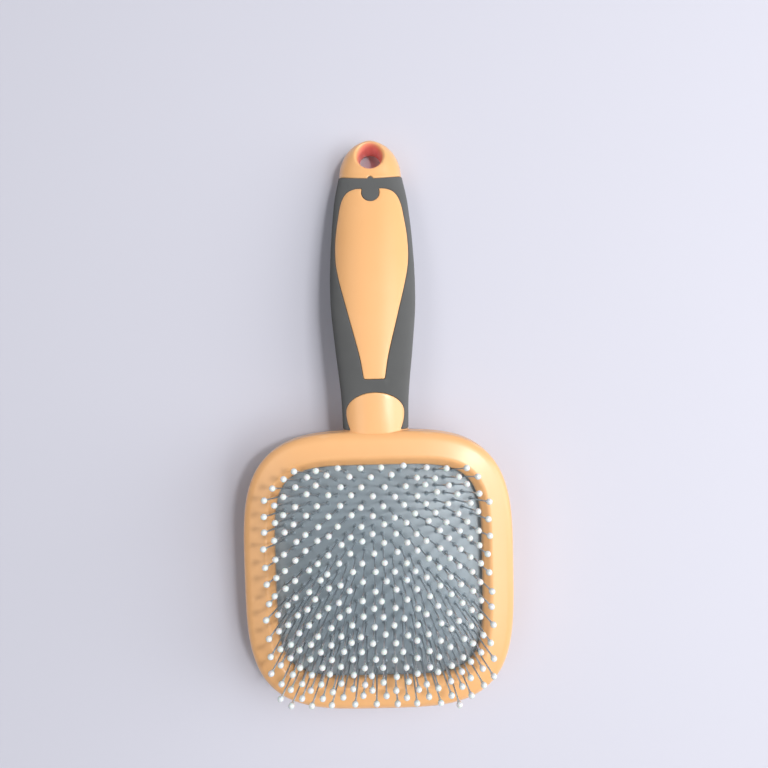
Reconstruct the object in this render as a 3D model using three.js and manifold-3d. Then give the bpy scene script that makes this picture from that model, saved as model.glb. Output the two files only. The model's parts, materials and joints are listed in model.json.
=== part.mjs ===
// A pet pin brush: a rounded-square head with an air-cushion pin pad, on a soft-grip handle.
// Every piece is modelled in the head's own frame: +X to the right, +Y towards the handle's end,
// +Z the way the pins point, with z = 0 on the flat back panel. The whole brush is then laid on its back.
// Millimetres.

import * as THREE from 'three';
import { mergeVertices } from 'three/addons/utils/BufferGeometryUtils.js';
import Module from 'manifold-3d';

const wasm = await Module();
wasm.setup();

// Head: a shallow tray with a frame snapped on its front.
const headWidth = 81.6;
const headLength = 85.6;
const headDepth = 16.6;
const headCornerShare = 0.825; // how far out the corners reach, as a share of the half sides
const partingHeight = 11; // from the back panel to the line where frame and tray meet
const trayFloor = 2.4;
const backEdgeInset = 9.5; // from the outline to the flat back panel
const roomInset = 1.6; // how far inside the opening's edge the tray's flat floor ends
const roomCorner = 4.6; // height of the rounded corner between floor and wall inside

// Rim of the frame, round the opening through which the pin pad bulges.
const rimWidth = 9.5; // at the head's sides
const rimLength = 10.1; // at the head's far end and at the handle
const openingCornerShare = 0.866;
const frameLipHeight = 12.5; // from the back panel to the underside of the frame's inner lip
const frameLipLand = 0.5; // straight height of the lip's edge
const frameWall = 2;
const frameBevel = 2.7; // how far the inner bevel runs in from the crown to the opening
const rimEdgeRadius = 3.2;
const rimCrown = 0.4; // how far the middle of the rim stands above its edges

// Upstand on the tray that the frame's channel drops over.
const upstandWall = 1.6;
const upstandHeight = 2.4;

// Rib in the tray that the pad's edge is clamped against.
const padRib = 1.6;

// Pin pad: a domed rubber skin with a woven backing, over a foam block.
const padCrown = 5.1;
const padSkin = 1.8;
const padFlange = 2.2; // how far the skin reaches under the frame's lip
const backingSheet = 0.6;
const foamInset = 0.6; // how far the foam block stays inside the edge of the tray's flat floor
const stripCount = 4;

// Pins.
const pinRows = 28;
const pinsPerRow = 11;
const pinPitch = 5.4;
const pinRowPitch = 2.26;
const pinLength = 16.4; // from the skin to the middle of the tip
const pinWire = 0.5;
const pinTip = 1.7;
const pinRootDepth = 1;
const pinFanRadius = 140; // the pins fan out as if they all came from a point this deep
const pinEdgeMargin = 0.8; // least distance from a pin's root to the opening's edge
const pinCornerShare = 0.88; // how far out the field of pins reaches in its corners

// Handle.
const handleLength = 90.1;
const handleWidth = 26.3;
const handleThickness = 18;
const neckHeight = 8.6; // from the back panel up to the middle of the handle's root
const handleDrop = 15.4; // how far the handle's end lies below its root
const bendLength = 18; // the stretch over which the handle bends away from the head
const handleRoot = 8; // how far the handle's root runs into the head's wall
const endLength = 11.6; // the rounded end, past the widest point of its ellipse
const endWidth = 20;
const hangHole = 8;
const hangHoleFlare = 1.1; // how much wider the hole is at its mouths, all round
const hangHoleFlareDepth = 1.5;
const hangHoleFromEnd = 6.3;

// Soft grip, moulded over the handle's core.
const gripWall = 2.2;
const capLength = 13; // the handle's bare end, past the grip
const keyRadius = 2.8; // the round key that hangs from the grip's top band into the inlay
const keySink = 1.3; // from the band's lower edge down to the key's middle
const nubRadius = 0.9; // the small nub in the middle of the grip's far edge

// Inlay: the teardrop panel that closes the handle's cored-out front.
const inlayWidth = 21.9;
const inlayStart = 15.6;
const gripBand = 3.3; // the grip's band between the inlay and the bare end
const pocketLedge = 2.4; // the ledge round the pocket that the inlay lies on
const pocketWall = 2.4;
const pocketDepth = 9;
const pocketRib = 1.6;
const pocketRibCount = 3;
const pegWidth = 2.6;
const pegBoss = 6;
const pegLength = 4.5;

// Neck boss: the arched cap of the tray's moulding that shows between the grip's two tails.
const bossWidth = 17.7;
const bossWaist = 15.2;
const bossWidest = 5.4; // from the head to the boss's widest line
const bossLength = 11.4;

// Clearances.
const fitGap = 0.3;
const overrun = 6; // how far a cut runs past what it cuts

// Facet counts.
const headSegments = 50;
const padSegments = 32;
const padSpans = 6;
const pinSides = 3;
const handleSegments = 30;
const handleStations = 14;
const endStations = 5;
const holeSegments = 20;
const outlineSteps = 18;
const cornerSteps = 3;

// Shares along the handle, its half width, and its half thickness towards the front and the back.
const handleShares = [
  [0, 0.76, 0.7, 0.7],
  [0.12, 0.79, 0.72, 0.72],
  [0.28, 0.91, 0.87, 0.87],
  [0.43, 1, 0.98, 1],
  [0.6, 0.985, 1, 1],
  [0.78, 0.88, 0.87, 0.86],
  [0.872, 0.76, 0.72, 0.7],
];

// Shares along the inlay, from its tail to its head, and of its half width.
const inlayShares = [
  [0, 0.285],
  [0.12, 0.39],
  [0.33, 0.67],
  [0.57, 0.97],
  [0.71, 1],
  [0.86, 0.9],
  [0.94, 0.8],
  [0.985, 0.63],
  [1, 0.42],
];

const pinFacetShare = 1.25; // how far a pin's few corners stand out, so that it keeps its true thickness
// Shares of the back edge's inset and of the parting height, round the tray's back.
const trayBackShares = [
  [1, 0],
  [0.74, 0.035],
  [0.48, 0.12],
  [0.24, 0.28],
  [0.08, 0.5],
  [0, 0.8],
  [0, 1],
];

const pegShares = [0.36, 0.78]; // places of the pegs along the inlay
const endThicknessShare = 0.4; // how thick the handle's very tip is, of the end's own thickness
const endLastShare = 0.985; // where along the rounded end its last section stands
const sectionPowerShare = 0.84; // power that squares the handle's oval section a little

const headEdge = headLength / 2;
const openingWidth = headWidth - 2 * rimWidth;
const openingLength = headLength - 2 * rimLength;
const roomEdgeInset = rimWidth + roomInset;
const upstandInset = frameWall + fitGap;
const skinTop = frameLipHeight - fitGap;
const skinUnder = skinTop - padSkin;
const backingTop = skinUnder - fitGap;
const backingUnder = backingTop - backingSheet;
const foamTop = backingUnder - fitGap;
const gripEnd = handleLength - capLength;
const inlayEnd = gripEnd - gripBand;

// Turns a closed geometry into a solid that can be cut and joined.
function solidOf(geometry) {
  const bare = geometry.clone();
  bare.deleteAttribute('normal');
  bare.deleteAttribute('uv');
  const merged = mergeVertices(bare);
  const mesh = new wasm.Mesh({
    numProp: 3,
    vertProperties: new Float32Array(merged.attributes.position.array),
    triVerts: new Uint32Array(merged.index.array),
  });
  return new wasm.Manifold(mesh);
}

// Turns a solid back into a geometry.
function geometryOf(solid) {
  const mesh = solid.getMesh();
  const geometry = new THREE.BufferGeometry();
  geometry.setAttribute('position', new THREE.BufferAttribute(mesh.vertProperties, 3));
  geometry.setIndex(new THREE.BufferAttribute(mesh.triVerts, 1));
  geometry.computeVertexNormals();
  return geometry;
}

// Joins rings of points, each listed counter-clockwise seen from the way they advance, into a closed skin.
// The last ring closes on a point, which is its own middle unless an apex is given.
function loft(rings, loop = false, apex = ringMiddle(rings[rings.length - 1])) {
  const count = rings[0].length;
  const positions = rings.flat().flatMap((point) => [point.x, point.y, point.z]);
  const index = [];
  const spans = loop ? rings.length : rings.length - 1;
  for (let ring = 0; ring < spans; ring += 1) {
    const here = ring * count;
    const next = ((ring + 1) % rings.length) * count;
    for (let step = 0; step < count; step += 1) {
      const after = (step + 1) % count;
      index.push(here + step, here + after, next + after);
      index.push(here + step, next + after, next + step);
    }
  }
  if (!loop) {
    capRing(count, 0, ringMiddle(rings[0]), true, positions, index);
    capRing(count, (rings.length - 1) * count, apex, false, positions, index);
  }
  const geometry = new THREE.BufferGeometry();
  geometry.setAttribute('position', new THREE.Float32BufferAttribute(positions, 3));
  geometry.setIndex(index);
  return geometry;
}

function ringMiddle(ring) {
  const middle = new THREE.Vector3();
  ring.forEach((point) => middle.addScaledVector(point, 1 / ring.length));
  return middle;
}

// Closes one end of a loft with a fan about a point.
function capRing(count, start, point, flipped, positions, index) {
  const centre = positions.length / 3;
  positions.push(point.x, point.y, point.z);
  for (let step = 0; step < count; step += 1) {
    const after = (step + 1) % count;
    const [first, second] = flipped ? [after, step] : [step, after];
    index.push(start + first, start + second, centre);
  }
}

// A flat outline pushed straight up between two heights.
function prism(points, low, high) {
  const extent = { depth: high - low, bevelEnabled: false };
  const geometry = new THREE.ExtrudeGeometry(new THREE.Shape(points), extent);
  geometry.translate(0, 0, low);
  return solidOf(geometry);
}

// A box from its lowest to its highest corner.
function block(low, high) {
  const size = high.clone().sub(low);
  const geometry = new THREE.BoxGeometry(size.x, size.y, size.z);
  geometry.translate(...low.clone().addScaledVector(size, 0.5).toArray());
  return solidOf(geometry);
}

function rod(radius, x, y, low, high) {
  const geometry = new THREE.CylinderGeometry(radius, radius, high - low, holeSegments);
  geometry.rotateX(Math.PI / 2);
  geometry.translate(x, y, (low + high) / 2);
  return solidOf(geometry);
}

function unite(solids) {
  return solids.reduce((whole, solid) => whole.add(solid));
}

// The head's rounded square: a superellipse whose power comes from how far out its corners reach.
function squircle(halfWidth, halfLength, cornerShare, segments, height) {
  const power = -Math.log(2) / Math.log(cornerShare);
  return Array.from({ length: segments }, (_, step) => {
    const turn = (2 * Math.PI * step) / segments;
    const across = Math.cos(turn);
    const along = Math.sin(turn);
    return new THREE.Vector3(
      halfWidth * Math.sign(across) * Math.abs(across) ** (2 / power),
      halfLength * Math.sign(along) * Math.abs(along) ** (2 / power),
      height,
    );
  });
}

// A ring of the head at an inset from its outline. Its corners sharpen towards the opening's own.
function headRing(inset, height) {
  const inwards = Math.min(inset / rimWidth, 1);
  const share = headCornerShare + (openingCornerShare - headCornerShare) * inwards;
  const halfLength = headLength / 2 - (inset * rimLength) / rimWidth;
  return squircle(headWidth / 2 - inset, halfLength, share, headSegments, height);
}

// The tray's outer form, with the upstand that the frame drops over.
function trayOuter() {
  const back = trayBackShares.map(([inset, height]) => (
    headRing(backEdgeInset * inset, partingHeight * height)
  ));
  const foot = headRing(upstandInset, partingHeight);
  const top = headRing(upstandInset, partingHeight + upstandHeight);
  return solidOf(loft([...back, foot, top]));
}

// The room inside the tray, with a rounded corner round its floor.
function trayRoom() {
  const wallInset = upstandInset + upstandWall;
  const rings = Array.from({ length: cornerSteps + 1 }, (_, step) => {
    const turn = (Math.PI / 2) * (step / cornerSteps);
    const inset = roomEdgeInset - (roomEdgeInset - wallInset) * Math.sin(turn);
    return headRing(inset, trayFloor + roomCorner * (1 - Math.cos(turn)));
  });
  return solidOf(loft([...rings, headRing(wallInset, headDepth + overrun)]));
}

// The rib round the tray's room, under the edge of the pad.
function clampRib() {
  const top = backingUnder - fitGap;
  const outer = prism(openingOutline(padRib / 2), trayFloor / 2, top);
  return outer.subtract(prism(openingOutline(-padRib / 2), trayFloor, top + overrun));
}

// The frame: a channel section run round the head.
function headFrame() {
  const bottom = partingHeight + fitGap;
  const edgeTop = headDepth - rimCrown;
  const bevelStart = rimWidth - frameBevel;
  const channelEnd = rimWidth - frameWall;
  const channelTop = edgeTop - frameWall;
  const edge = Array.from({ length: cornerSteps + 1 }, (_, step) => {
    const turn = (Math.PI / 2) * (step / cornerSteps);
    return [rimEdgeRadius * (1 - Math.cos(turn)), edgeTop - rimEdgeRadius * (1 - Math.sin(turn))];
  });
  const profile = [
    [0, bottom],
    ...edge,
    [(rimEdgeRadius + bevelStart) / 2, headDepth],
    [bevelStart, edgeTop],
    [bevelStart + frameBevel / 3, edgeTop - rimCrown],
    [rimWidth, frameLipHeight + frameLipLand],
    [rimWidth, frameLipHeight],
    [channelEnd, frameLipHeight],
    [channelEnd, channelTop],
    [frameWall, channelTop],
    [frameWall, bottom],
  ];
  return solidOf(loft(profile.map(([inset, height]) => headRing(inset, height)), true));
}

// Height of the pad's dome over a place in the opening. It is level from the opening's corners outwards.
function domeHeight(x, y, edgeHeight) {
  const across = (2 * x) / openingWidth;
  const along = (2 * y) / openingLength;
  const level = (1 - openingCornerShare ** 2) ** 2;
  const rise = Math.max(1 - across ** 2, 0) * Math.max(1 - along ** 2, 0);
  return edgeHeight + (padCrown * Math.max(rise - level, 0)) / (1 - level);
}

// Places of the lines on which the dome has a facet edge: the opening's edges, and places between them.
function padLines(halfOpening, between) {
  return [-halfOpening - padFlange, -halfOpening, ...between, halfOpening, halfOpening + padFlange];
}

function linesAcross() {
  const half = openingWidth / 2;
  const inner = Array.from({ length: padSpans - 1 }, (_, line) => half * ((2 * (line + 1)) / padSpans - 1));
  return padLines(half, inner);
}

// Lines between rows of pins, two to each strip.
function linesAlong() {
  const half = openingLength / 2;
  const rows = Array.from({ length: 2 * stripCount - 1 }, (_, line) => stripRow((line + 1) / 2));
  return padLines(half, rows.map(lineBefore));
}

// The first row of a strip, or the row that starts its second half.
function stripRow(strip) {
  return Math.round((strip * pinRows) / stripCount);
}

// The line half way between a row of pins and the one before it.
function lineBefore(row) {
  return (row - pinRows / 2) * pinRowPitch;
}

// A closed sheet over a grid of lines, its two faces given by their heights and split the same way.
function gridSheet(across, along, lowAt, highAt) {
  const face = (heightAt) => across.flatMap((x) => along.flatMap((y) => [x, y, heightAt(x, y)]));
  const upper = across.length * along.length;
  const at = (column, row) => column * along.length + row;
  const index = [];
  const wall = (first, second) => {
    index.push(first, second, second + upper, first, second + upper, first + upper);
  };
  for (let column = 0; column < across.length - 1; column += 1) {
    for (let row = 0; row < along.length - 1; row += 1) {
      const [a, b] = [at(column, row), at(column + 1, row)];
      const [c, d] = [at(column + 1, row + 1), at(column, row + 1)];
      index.push(a, c, b, a, d, c, a + upper, b + upper, c + upper, a + upper, c + upper, d + upper);
    }
    wall(at(column, 0), at(column + 1, 0));
    wall(at(column + 1, along.length - 1), at(column, along.length - 1));
  }
  for (let row = 0; row < along.length - 1; row += 1) {
    wall(at(0, row + 1), at(0, row));
    wall(at(across.length - 1, row), at(across.length - 1, row + 1));
  }
  const geometry = new THREE.BufferGeometry();
  geometry.setAttribute('position', new THREE.Float32BufferAttribute([...face(lowAt), ...face(highAt)], 3));
  geometry.setIndex(index);
  return solidOf(geometry);
}

// A domed sheet of the pad between two edge heights, over some lines along the head.
function domedSheet(lines, lowEdge, highEdge, reach, flatBelow = false) {
  const low = (x, y) => (flatBelow ? lowEdge : domeHeight(x, y, lowEdge));
  const high = (x, y) => domeHeight(x, y, highEdge);
  const cutter = prism(openingOutline(reach), -overrun, headDepth + padCrown + overrun);
  return gridSheet(linesAcross(), lines, low, high).intersect(cutter);
}

// Roots of all pins, row by row, each row staggered by half a pitch against the last.
function pinRoots() {
  const rows = [];
  const halfWidth = openingWidth / 2 - pinEdgeMargin;
  const halfLength = openingLength / 2 - pinEdgeMargin;
  const power = -Math.log(2) / Math.log(pinCornerShare);
  for (let row = 0; row < pinRows; row += 1) {
    const y = (row - (pinRows - 1) / 2) * pinRowPitch;
    const shift = row % 2 === 0 ? -pinPitch / 4 : pinPitch / 4;
    const roots = [];
    for (let place = 0; place < pinsPerRow; place += 1) {
      const x = (place - (pinsPerRow - 1) / 2) * pinPitch + shift;
      const out = Math.abs(x / halfWidth) ** power + Math.abs(y / halfLength) ** power;
      if (out < 1) roots.push(new THREE.Vector3(x, y, domeHeight(x, y, skinTop)));
    }
    rows.push(roots);
  }
  return rows;
}

// One pin: a three-sided wire with a faceted ball on its end.
function pin(root) {
  const way = new THREE.Vector3(root.x, root.y, pinFanRadius).normalize();
  const side = new THREE.Vector3(0, 1, 0).cross(way).normalize();
  const up = way.clone().cross(side);
  const ringAt = (distance, radius) => Array.from({ length: pinSides }, (_, corner) => {
    const turn = (2 * Math.PI * corner) / pinSides;
    return root.clone()
      .addScaledVector(way, distance)
      .addScaledVector(side, radius * Math.cos(turn))
      .addScaledVector(up, radius * Math.sin(turn));
  });
  const wire = (pinWire / 2) * pinFacetShare;
  const ball = (pinTip / 2) * pinFacetShare;
  const rings = [ringAt(-pinRootDepth, wire), ringAt(pinLength - ball, wire), ringAt(pinLength, ball)];
  return solidOf(loft(rings, false, root.clone().addScaledVector(way, pinLength + ball)));
}

function flatOutline(halfWidth, halfLength, cornerShare) {
  const ring = squircle(halfWidth, halfLength, cornerShare, padSegments, 0);
  return ring.map(({ x, y }) => new THREE.Vector2(x, y));
}

// The opening's outline, grown all round by a reach.
function openingOutline(reach) {
  return flatOutline(openingWidth / 2 + reach, openingLength / 2 + reach, openingCornerShare);
}

// The room under the frame's lip that the skin's flange keeps clear of.
function lipRoom() {
  const top = headDepth + padCrown + overrun;
  const whole = prism(flatOutline(headWidth / 2, headLength / 2, headCornerShare), skinTop, top);
  return whole.subtract(prism(openingOutline(-fitGap), skinTop - overrun, top + overrun));
}

// The pad's skin in strips, each with the pins that stand in it.
function pinStrips() {
  const rows = pinRoots();
  const lip = lipRoom();
  return Array.from({ length: stripCount }, (_, strip) => {
    const low = strip === 0 ? -headLength : lineBefore(stripRow(strip)) + fitGap / 2;
    const high = strip === stripCount - 1 ? headLength : lineBefore(stripRow(strip + 1)) - fitGap / 2;
    const lines = linesAlong().filter((line) => line > low && line < high);
    if (strip > 0) lines.unshift(low);
    if (strip < stripCount - 1) lines.push(high);
    const slice = domedSheet(lines, skinUnder, skinTop, padFlange).subtract(lip);
    const pins = rows.slice(stripRow(strip), stripRow(strip + 1)).flat().map(pin);
    return unite([slice, ...pins]);
  });
}

// A smooth value between the rows of a table of shares.
function smoothly(table, column, share) {
  const last = table.length - 1;
  let row = 0;
  while (row < last - 1 && share > table[row + 1][0]) row += 1;
  const span = table[row + 1][0] - table[row][0];
  const part = (share - table[row][0]) / span;
  const slope = (at) => {
    const before = table[Math.max(at - 1, 0)];
    const after = table[Math.min(at + 1, last)];
    return (after[column] - before[column]) / (after[0] - before[0]);
  };
  const start = table[row][column];
  const finish = table[row + 1][column];
  const cube = part ** 3;
  const square = part ** 2;
  return (
    start * (2 * cube - 3 * square + 1)
    + slope(row) * span * (cube - 2 * square + part)
    + finish * (3 * square - 2 * cube)
    + slope(row + 1) * span * (cube - square)
  );
}

// Height of the handle's middle at a distance from the head.
function handleMiddle(distance) {
  const rate = handleDrop / (handleLength - bendLength / 2);
  if (distance < 0) return neckHeight;
  if (distance < bendLength) return neckHeight - (rate * distance * distance) / (2 * bendLength);
  return neckHeight - rate * (distance - bendLength / 2);
}

// Half sizes of the handle's section at a distance from the head.
function handleSection(distance) {
  const ellipseStart = handleLength - endLength;
  const share = Math.max(Math.min(distance, ellipseStart) / handleLength, 0);
  const section = {
    across: (smoothly(handleShares, 1, share) * handleWidth) / 2,
    front: (smoothly(handleShares, 2, share) * handleThickness) / 2,
    back: (smoothly(handleShares, 3, share) * handleThickness) / 2,
  };
  if (distance > ellipseStart) {
    const past = (distance - ellipseStart) / endLength;
    const thin = endThicknessShare + (1 - endThicknessShare) * Math.sqrt(1 - past ** 3);
    section.across = (endWidth / 2) * Math.sqrt(1 - past * past);
    section.front *= thin;
    section.back *= thin;
  }
  return section;
}

// The ring of the handle's skin at a distance from the head, drawn in by an inset.
function handleRing(distance, inset) {
  const section = handleSection(distance);
  const middle = handleMiddle(distance);
  return Array.from({ length: handleSegments }, (_, step) => {
    const turn = (2 * Math.PI * step) / handleSegments;
    const across = Math.cos(turn);
    const depth = Math.sin(turn);
    const half = depth > 0 ? section.front : section.back;
    return new THREE.Vector3(
      -(section.across - inset) * Math.sign(across) * Math.abs(across) ** sectionPowerShare,
      headEdge + distance,
      middle + (half - inset) * Math.sign(depth) * Math.abs(depth) ** sectionPowerShare,
    );
  });
}

// Distances from the head at which every form of the handle has a section.
function shaftStations() {
  const start = -handleRoot;
  const step = (handleLength - endLength - start) / handleStations;
  return Array.from({ length: handleStations + 1 }, (_, station) => start + step * station);
}

// The handle's shaft, drawn in all round by an inset.
function shaftForm(inset) {
  return solidOf(loft(shaftStations().map((distance) => handleRing(distance, inset))));
}

// The whole handle's outer form, with its rounded end.
function handleForm() {
  const end = Array.from({ length: endStations }, (_, station) => {
    const past = Math.sin((Math.PI / 2) * ((station + 1) / endStations)) * endLastShare;
    return handleLength - endLength + endLength * past;
  });
  return solidOf(loft([...shaftStations(), ...end].map((distance) => handleRing(distance, 0))));
}

// The inlay's teardrop, grown or shrunk all round by an offset.
function inlayOutline(offset) {
  const start = headEdge + inlayStart - offset;
  const length = inlayEnd - inlayStart + 2 * offset;
  const right = [];
  for (let step = 0; step <= outlineSteps; step += 1) {
    const share = (1 - Math.cos((Math.PI * step) / outlineSteps)) / 2;
    const half = (smoothly(inlayShares, 1, share) * inlayWidth) / 2 + offset;
    right.push(new THREE.Vector2(half, start + length * share));
  }
  const left = right.map((point) => new THREE.Vector2(-point.x, point.y)).reverse();
  return [...right, ...left];
}

// The neck boss's outline: a waist at the head, then an elliptical arch.
function bossOutline(offset) {
  const half = bossWidth / 2 + offset;
  const arch = bossLength - bossWidest + offset;
  const right = [
    new THREE.Vector2(bossWaist / 2 + offset, headEdge - handleRoot),
    new THREE.Vector2(bossWaist / 2 + offset, headEdge + bossWidest / 4),
    new THREE.Vector2((bossWaist + bossWidth) / 4 + offset, headEdge + bossWidest / 2),
  ];
  for (let step = 0; step < outlineSteps / 2; step += 1) {
    const turn = (Math.PI * step) / outlineSteps;
    right.push(new THREE.Vector2(half * Math.cos(turn), headEdge + bossWidest + arch * Math.sin(turn)));
  }
  const top = new THREE.Vector2(0, headEdge + bossLength + offset);
  const left = right.map((point) => new THREE.Vector2(-point.x, point.y)).reverse();
  return [...right, top, ...left];
}

const frontTop = headDepth + overrun;
const deepest = neckHeight - handleDrop - handleThickness - overrun;

// A prism that takes only the handle's front half, its foot following the handle's bend.
function frontPrism(outline) {
  return prism(outline, deepest, frontTop).intersect(aboveMiddle());
}

// Everything above the handle's middle.
function aboveMiddle() {
  const start = -handleRoot - overrun;
  const span = handleLength + handleRoot + 2 * overrun;
  const rings = [];
  for (let station = 0; station <= handleStations; station += 1) {
    const distance = start + (span * station) / handleStations;
    const y = headEdge + distance;
    const middle = handleMiddle(distance);
    rings.push([
      new THREE.Vector3(handleWidth, y, middle),
      new THREE.Vector3(-handleWidth, y, middle),
      new THREE.Vector3(-handleWidth, y, frontTop),
      new THREE.Vector3(handleWidth, y, frontTop),
    ]);
  }
  return solidOf(loft(rings));
}

// A slab right across the handle between two distances from the head.
function slab(from, to) {
  return block(
    new THREE.Vector3(-handleWidth, headEdge + from, deepest),
    new THREE.Vector3(handleWidth, headEdge + to, frontTop),
  );
}

// The grip's round key, which hangs from its top band.
function keyRod(gap) {
  return rod(keyRadius + gap, 0, headEdge + inlayEnd - keySink, deepest, frontTop);
}

function nubRod(gap) {
  return rod(nubRadius + gap, 0, headEdge + gripEnd, deepest, frontTop);
}

// Soft grip: the handle's outer skin, less its core, the inlay's window and the neck boss.
function gripSleeve() {
  const skin = handleForm();
  const core = shaftForm(gripWall);
  const window = frontPrism(inlayOutline(fitGap / 2)).subtract(keyRod(-fitGap / 2));
  const boss = frontPrism(bossOutline(fitGap / 2));
  const reach = slab(fitGap, gripEnd - fitGap / 2).add(frontPrismOf(nubRod(-fitGap / 2)));
  return skin.intersect(reach).subtract(core).subtract(window).subtract(boss);
}

function frontPrismOf(solid) {
  return solid.intersect(aboveMiddle());
}

// Places of the inlay's pegs, along the handle from the head.
function pegPlaces() {
  return pegShares.map((share) => inlayStart + (inlayEnd - inlayStart) * share);
}

// Inlay: the teardrop of the handle's skin that lies on the core, with its two pegs.
function inlayPanel() {
  const skin = handleForm();
  const core = shaftForm(gripWall);
  const panel = skin
    .intersect(frontPrism(inlayOutline(-fitGap / 2)))
    .subtract(core)
    .subtract(keyRod(fitGap / 2));
  const pegs = pegPlaces().map((place) => {
    const under = handleMiddle(place) + handleSection(place).front - gripWall;
    return rod(pegWidth / 2, 0, headEdge + place, under - pegLength, under + gripWall / 2);
  });
  return unite([panel, ...pegs]);
}

// The pocket cored out of the handle, with its ribs and peg bosses left standing.
function corePocket() {
  const room = shaftForm(gripWall + pocketWall);
  const outline = inlayOutline(-pocketLedge);
  const cut = prism(outline, deepest, frontTop);
  const above = shaftForm(gripWall / 2)
    .intersect(aboveMiddle())
    .intersect(cut);
  const length = inlayEnd - inlayStart - 2 * pocketLedge;
  const ribs = Array.from({ length: pocketRibCount }, (_, rib) => {
    const middle = inlayStart + pocketLedge + (length * (rib + 1)) / (pocketRibCount + 1);
    return slab(middle - pocketRib / 2, middle + pocketRib / 2);
  });
  const bosses = pegPlaces().map((place) => rod(pegBoss / 2, 0, headEdge + place, deepest, frontTop));
  const holes = pegPlaces().map((place) => {
    const top = handleMiddle(place) + handleSection(place).front;
    return rod(pegWidth / 2 + fitGap, 0, headEdge + place, top - gripWall - pegLength - fitGap, frontTop);
  });
  const hollow = room.intersect(cut).add(above).intersect(pocketFloor());
  return hollow.subtract(unite([...ribs, ...bosses])).add(unite(holes));
}

// Everything above the pocket's floor.
function pocketFloor() {
  return aboveMiddle().translate([0, 0, handleThickness / 2 - pocketDepth]);
}

// Hang hole, square to the handle's end, flared at both mouths.
function hangHoleCut() {
  const reach = handleThickness / 2 + overrun;
  const mouth = handleSection(handleLength - hangHoleFromEnd).front;
  const radius = hangHole / 2;
  const points = [
    new THREE.Vector2(0, -reach),
    new THREE.Vector2(radius + hangHoleFlare + (reach - mouth), -reach),
    new THREE.Vector2(radius + hangHoleFlare, -mouth),
    new THREE.Vector2(radius, -mouth + hangHoleFlareDepth),
    new THREE.Vector2(radius, mouth - hangHoleFlareDepth),
    new THREE.Vector2(radius + hangHoleFlare, mouth),
    new THREE.Vector2(radius + hangHoleFlare + (reach - mouth), reach),
    new THREE.Vector2(0, reach),
  ];
  const geometry = new THREE.LatheGeometry(points, holeSegments);
  const lean = Math.atan(handleDrop / (handleLength - bendLength / 2));
  geometry.rotateX(Math.PI / 2 - lean);
  const place = handleLength - hangHoleFromEnd;
  geometry.translate(0, headEdge + place, handleMiddle(place));
  return solidOf(geometry);
}

// The tray, the neck boss, the handle's core and its end are one moulding.
function bodyShell() {
  const skin = handleForm();
  const core = shaftForm(gripWall + fitGap);
  const boss = skin.intersect(frontPrism(bossOutline(-fitGap / 2)));
  const root = skin.intersect(slab(-handleRoot, 0));
  const end = skin
    .intersect(slab(gripEnd + fitGap / 2, handleLength))
    .subtract(frontPrismOf(nubRod(fitGap / 2)));
  const rim = headRing(-fitGap, 0).map(({ x, y }) => new THREE.Vector2(x, y));
  const frameRoom = prism(rim, partingHeight, frontTop);
  const handle = unite([core, boss, root, end])
    .subtract(frameRoom)
    .subtract(corePocket())
    .subtract(hangHoleCut());
  return trayOuter().add(handle).subtract(trayRoom()).add(clampRib());
}

// Foam block that fills the tray and pushes the pad up into its dome.
function foamBlock() {
  return domedSheet(linesAlong(), trayFloor + fitGap, foamTop, -roomInset - foamInset, true);
}

// Woven sheet that backs the pad's skin.
function backingSheetSolid() {
  return domedSheet(linesAlong(), backingUnder, backingTop, padFlange / 2);
}

// Each material's colour, roughness and metalness.
const finishes = {
  orange: { color: 0xfac28b, roughness: 0.32, metalness: 0 },
  grip: { color: 0x6b6b70, roughness: 0.62, metalness: 0 },
  pad: { color: 0x93a2ad, roughness: 0.7, metalness: 0 },
  cloth: { color: 0xc8c4b8, roughness: 0.9, metalness: 0 },
  foam: { color: 0xdedbd0, roughness: 0.95, metalness: 0 },
};

function piece(name, solid, finish) {
  const mesh = new THREE.Mesh(geometryOf(solid), new THREE.MeshStandardMaterial(finishes[finish]));
  mesh.name = name;
  return mesh;
}

// The place of the brush's middle along the handle, by volume.
function middleAlong(meshes) {
  const corner = [new THREE.Vector3(), new THREE.Vector3(), new THREE.Vector3()];
  let volume = 0;
  let moment = 0;
  meshes.forEach(({ geometry: { attributes: { position }, index } }) => {
    for (let at = 0; at < index.count; at += 3) {
      corner.forEach((point, which) => point.fromBufferAttribute(position, index.getX(at + which)));
      const [a, b, c] = corner;
      const part = a.dot(b.clone().cross(c)) / 6;
      volume += part;
      moment += (part * (a.y + b.y + c.y)) / 4;
    }
  });
  return moment / volume;
}

// Tilt about X that lays the brush on the two lowest lines of its back, one each side of its middle.
function restingTilt(meshes) {
  const points = meshes.flatMap(({ geometry: { attributes: { position } } }) => (
    Array.from({ length: position.count }, (_, at) => [position.getY(at), position.getZ(at)])
  ));
  points.sort((a, b) => a[0] - b[0] || a[1] - b[1]);
  const hull = [];
  points.forEach(([y, z]) => {
    while (hull.length > 1) {
      const [[y0, z0], [y1, z1]] = hull.slice(-2);
      if ((y1 - y0) * (z - z0) > (z1 - z0) * (y - y0)) break;
      hull.pop();
    }
    hull.push([y, z]);
  });
  const middle = middleAlong(meshes);
  const after = hull.findIndex(([y]) => y > middle);
  const [y0, z0] = hull[after - 1];
  const [y1, z1] = hull[after];
  return Math.atan2(z0 - z1, y1 - y0);
}

const brush = new THREE.Group();
brush.add(piece('body_shell', bodyShell(), 'orange'));
brush.add(piece('head_frame', headFrame(), 'orange'));
brush.add(piece('grip_sleeve', gripSleeve(), 'grip'));
brush.add(piece('handle_inlay', inlayPanel(), 'orange'));
brush.add(piece('foam_cushion', foamBlock(), 'foam'));
brush.add(piece('backing_sheet', backingSheetSolid(), 'cloth'));
pinStrips().forEach((strip, at) => brush.add(piece(`pin_strip_${at + 1}`, strip, 'pad')));

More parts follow.
